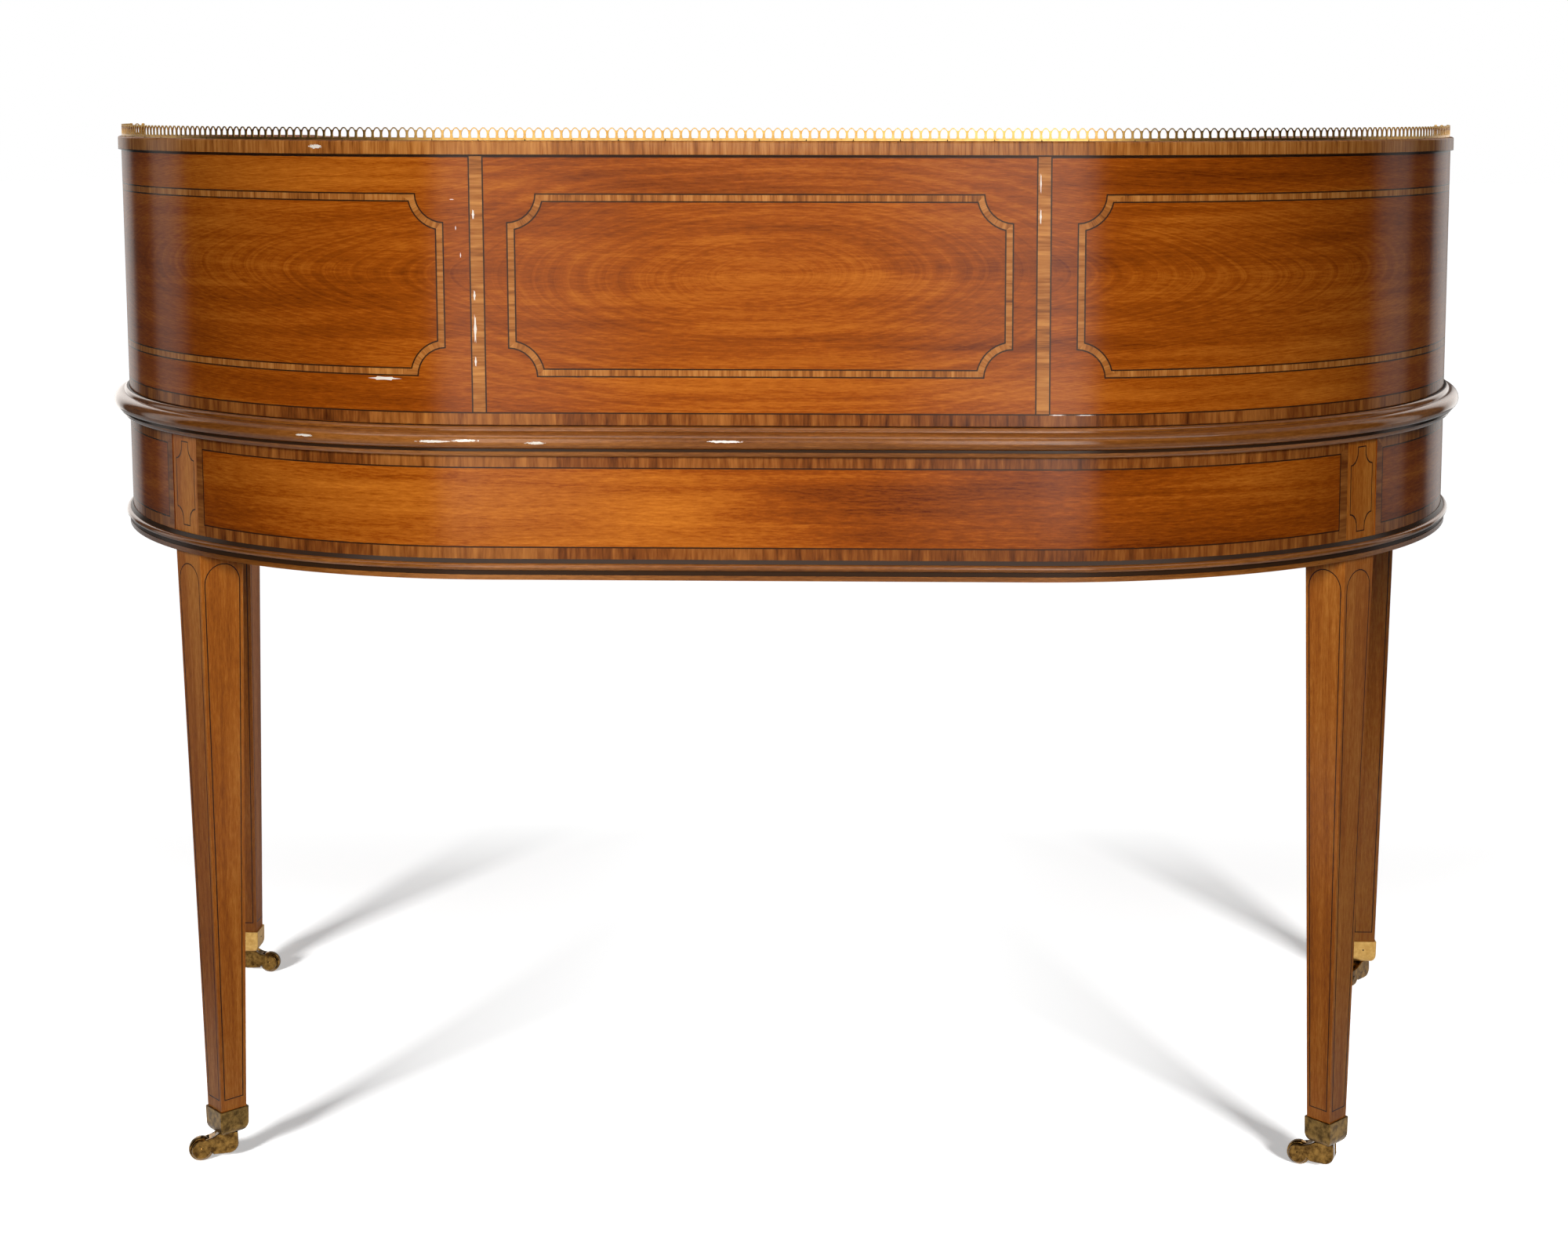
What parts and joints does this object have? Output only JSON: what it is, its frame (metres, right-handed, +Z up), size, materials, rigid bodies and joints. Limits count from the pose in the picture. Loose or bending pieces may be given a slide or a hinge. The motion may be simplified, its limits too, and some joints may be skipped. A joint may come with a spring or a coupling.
{
  "type": "carlton house desk",
  "caption": "D-shaped writing desk on tapered legs with castors; curved superstructure of small drawers, cupboards and sloping lidded arms, topped by a pierced brass gallery.",
  "frame": {"origin": "on the floor under the middle of the desk", "axes": "+X to the sitter's right along the width, +Y from the sitter towards the curved back, +Z up"},
  "size_m": [1.41, 0.72, 1.018],
  "materials": {
    "satinwood": "french polished",
    "moulding": "darker crossgrained moulding, polished",
    "lining": "plain planed wood",
    "brass": "aged, softly polished",
    "leather": "smooth writing leather"
  },
  "bodies": {
    "desk": {"dust_board": "lining", "back_frieze": "satinwood", "left_frieze": "satinwood", "right_frieze": "satinwood", "front_rail": "satinwood", "left_drawer_guide": "satinwood", "right_drawer_guide": "satinwood", "table_top": "satinwood", "superstructure_wall": "satinwood", "top_board": "satinwood", "bank_side_left": "satinwood", "bank_side_right": "satinwood", "bank_divider": "satinwood", "arm_inner_wall_left": "satinwood", "arm_inner_wall_right": "satinwood", "arm_head_left": "satinwood", "arm_head_right": "satinwood", "arm_floor_left": "satinwood", "arm_floor_right": "satinwood", "lower_moulding": "moulding", "waist_moulding": "moulding", "writing_leather": "leather", "brass_gallery": "brass", "leg_front_left": "satinwood", "cap_front_left": "brass", "leg_front_right": "satinwood", "cap_front_right": "brass", "leg_rear_left": "satinwood", "cap_rear_left": "brass", "leg_rear_right": "satinwood", "cap_rear_right": "brass"},
    "centre_drawer": {"centre_drawer": "satinwood", "handle_plate_centre_left": "brass", "handle_plate_centre_right": "brass"},
    "left_drawer": {"left_drawer": "satinwood", "handle_plate_left": "brass"},
    "right_drawer": {"right_drawer": "satinwood", "handle_plate_right": "brass"},
    "handle_bail_centre_left": {"handle_bail_centre_left": "brass"},
    "handle_bail_centre_right": {"handle_bail_centre_right": "brass"},
    "handle_bail_left": {"handle_bail_left": "brass"},
    "handle_bail_right": {"handle_bail_right": "brass"},
    "bank_drawer_lower_left": {"bank_drawer_lower_left": "satinwood"},
    "bank_drawer_upper_left": {"bank_drawer_upper_left": "satinwood"},
    "arm_drawer_left": {"arm_drawer_left": "satinwood"},
    "cupboard_door_left": {"cupboard_door_left": "satinwood"},
    "arm_lid_left": {"arm_lid_left": "satinwood"},
    "bank_drawer_lower_right": {"bank_drawer_lower_right": "satinwood"},
    "bank_drawer_upper_right": {"bank_drawer_upper_right": "satinwood"},
    "arm_drawer_right": {"arm_drawer_right": "satinwood"},
    "cupboard_door_right": {"cupboard_door_right": "satinwood"},
    "arm_lid_right": {"arm_lid_right": "satinwood"},
    "castor_horn_front_left": {"castor_horn_front_left": "brass"},
    "castor_wheel_front_left": {"castor_wheel_front_left": "brass"},
    "castor_horn_front_right": {"castor_horn_front_right": "brass"},
    "castor_wheel_front_right": {"castor_wheel_front_right": "brass"},
    "castor_horn_rear_left": {"castor_horn_rear_left": "brass"},
    "castor_wheel_rear_left": {"castor_wheel_rear_left": "brass"},
    "castor_horn_rear_right": {"castor_horn_rear_right": "brass"},
    "castor_wheel_rear_right": {"castor_wheel_rear_right": "brass"}
  },
  "joints": [
    {"name": "centre_drawer_slide", "type": "slide", "parent": "desk", "child": "centre_drawer", "axis": [0, -1, 0], "range_m": [0, 0.3]},
    {"name": "left_drawer_slide", "type": "slide", "parent": "desk", "child": "left_drawer", "axis": [0, -1, 0], "range_m": [0, 0.24]},
    {"name": "right_drawer_slide", "type": "slide", "parent": "desk", "child": "right_drawer", "axis": [0, -1, 0], "range_m": [0, 0.24]},
    {"name": "handle_bail_centre_left_swing", "type": "hinge", "parent": "centre_drawer", "child": "handle_bail_centre_left", "pos_m": [-0.1221, -0.3538, 0.6785], "axis": [-1, 0, 0], "range_deg": [0, 80]},
    {"name": "handle_bail_centre_right_swing", "type": "hinge", "parent": "centre_drawer", "child": "handle_bail_centre_right", "pos_m": [0.1221, -0.3538, 0.6785], "axis": [-1, 0, 0], "range_deg": [0, 80]},
    {"name": "handle_bail_left_swing", "type": "hinge", "parent": "left_drawer", "child": "handle_bail_left", "pos_m": [-0.4535, -0.3538, 0.6785], "axis": [-1, 0, 0], "range_deg": [0, 80]},
    {"name": "handle_bail_right_swing", "type": "hinge", "parent": "right_drawer", "child": "handle_bail_right", "pos_m": [0.4535, -0.3538, 0.6785], "axis": [-1, 0, 0], "range_deg": [0, 80]},
    {"name": "bank_drawer_lower_left_slide", "type": "slide", "parent": "desk", "child": "bank_drawer_lower_left", "axis": [0, -1, 0], "range_m": [0, 0.11]},
    {"name": "bank_drawer_upper_left_slide", "type": "slide", "parent": "desk", "child": "bank_drawer_upper_left", "axis": [0, -1, 0], "range_m": [0, 0.11]},
    {"name": "arm_drawer_left_slide", "type": "slide", "parent": "desk", "child": "arm_drawer_left", "axis": [0, -1, 0], "range_m": [0, 0.15]},
    {"name": "cupboard_door_left_hinge", "type": "hinge", "parent": "desk", "child": "cupboard_door_left", "pos_m": [-0.49238, -0.0394, 0.87285], "axis": [0, 0, -1], "range_deg": [0, 100]},
    {"name": "arm_lid_left_hinge", "type": "hinge", "parent": "desk", "child": "arm_lid_left", "pos_m": [-0.594, -0.0925, 0.93975], "axis": [-1, 0, 0], "range_deg": [0, 115]},
    {"name": "bank_drawer_lower_right_slide", "type": "slide", "parent": "desk", "child": "bank_drawer_lower_right", "axis": [0, -1, 0], "range_m": [0, 0.11]},
    {"name": "bank_drawer_upper_right_slide", "type": "slide", "parent": "desk", "child": "bank_drawer_upper_right", "axis": [0, -1, 0], "range_m": [0, 0.11]},
    {"name": "arm_drawer_right_slide", "type": "slide", "parent": "desk", "child": "arm_drawer_right", "axis": [0, -1, 0], "range_m": [0, 0.15]},
    {"name": "cupboard_door_right_hinge", "type": "hinge", "parent": "desk", "child": "cupboard_door_right", "pos_m": [0.49238, -0.0394, 0.87285], "axis": [0, 0, 1], "range_deg": [0, 100]},
    {"name": "arm_lid_right_hinge", "type": "hinge", "parent": "desk", "child": "arm_lid_right", "pos_m": [0.594, -0.0925, 0.93975], "axis": [-1, 0, 0], "range_deg": [0, 115]},
    {"name": "castor_swivel_front_left", "type": "hinge", "parent": "desk", "child": "castor_horn_front_left", "pos_m": [-0.667, -0.322, 0.02], "axis": [0, 0, 1], "continuous": true},
    {"name": "castor_roll_front_left", "type": "hinge", "parent": "castor_horn_front_left", "child": "castor_wheel_front_left", "pos_m": [-0.65029, -0.30208, 0.012], "axis": [-0.766, 0.6428, 0], "continuous": true},
    {"name": "castor_swivel_front_right", "type": "hinge", "parent": "desk", "child": "castor_horn_front_right", "pos_m": [0.667, -0.322, 0.02], "axis": [0, 0, 1], "continuous": true},
    {"name": "castor_roll_front_right", "type": "hinge", "parent": "castor_horn_front_right", "child": "castor_wheel_front_right", "pos_m": [0.64102, -0.32109, 0.012], "axis": [-0.0349, -0.9994, 0], "continuous": true},
    {"name": "castor_swivel_rear_left", "type": "hinge", "parent": "desk", "child": "castor_horn_rear_left", "pos_m": [-0.54255, 0.19755, 0.02], "axis": [0, 0, 1], "continuous": true},
    {"name": "castor_roll_rear_left", "type": "hinge", "parent": "castor_horn_rear_left", "child": "castor_wheel_rear_left", "pos_m": [-0.51844, 0.18781, 0.012], "axis": [0.3746, 0.9272, 0], "continuous": true},
    {"name": "castor_swivel_rear_right", "type": "hinge", "parent": "desk", "child": "castor_horn_rear_right", "pos_m": [0.54255, 0.19755, 0.02], "axis": [0, 0, 1], "continuous": true},
    {"name": "castor_roll_rear_right", "type": "hinge", "parent": "castor_horn_rear_right", "child": "castor_wheel_rear_right", "pos_m": [0.56698, 0.20644, 0.012], "axis": [-0.342, 0.9397, 0], "continuous": true}
  ]
}
